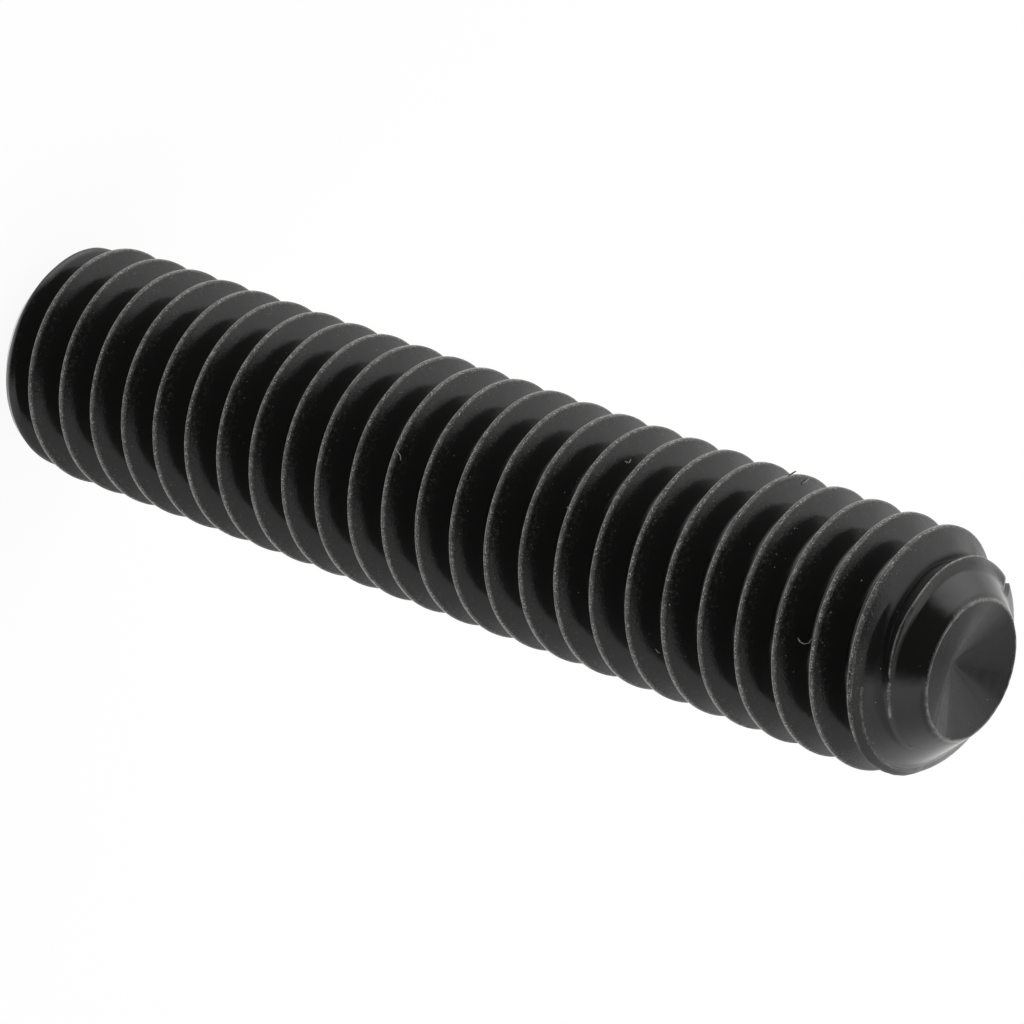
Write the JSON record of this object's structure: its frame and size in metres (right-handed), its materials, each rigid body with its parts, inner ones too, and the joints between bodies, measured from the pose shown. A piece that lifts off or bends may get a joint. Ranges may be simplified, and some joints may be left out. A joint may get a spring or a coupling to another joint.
{
  "type": "grub set screw",
  "caption": "Headless grub set screw of blackened steel, threaded from end to end, with a hexagon socket in one end and a cup point at the other.",
  "frame": {"origin": "centre of the flat ring at the socket end, which the screw stands on", "axes": "+Z along the screw's axis, from the socket end up to the cup point; -Y faces the picture's camera, whose up is -X"},
  "size_m": [0.0078, 0.0078, 0.0376],
  "materials": {
    "black_steel": "black oxide, semi-gloss, worn pale along the thread's crests"
  },
  "bodies": {
    "root": {"set_screw": "black_steel"}
  },
  "joints": []
}
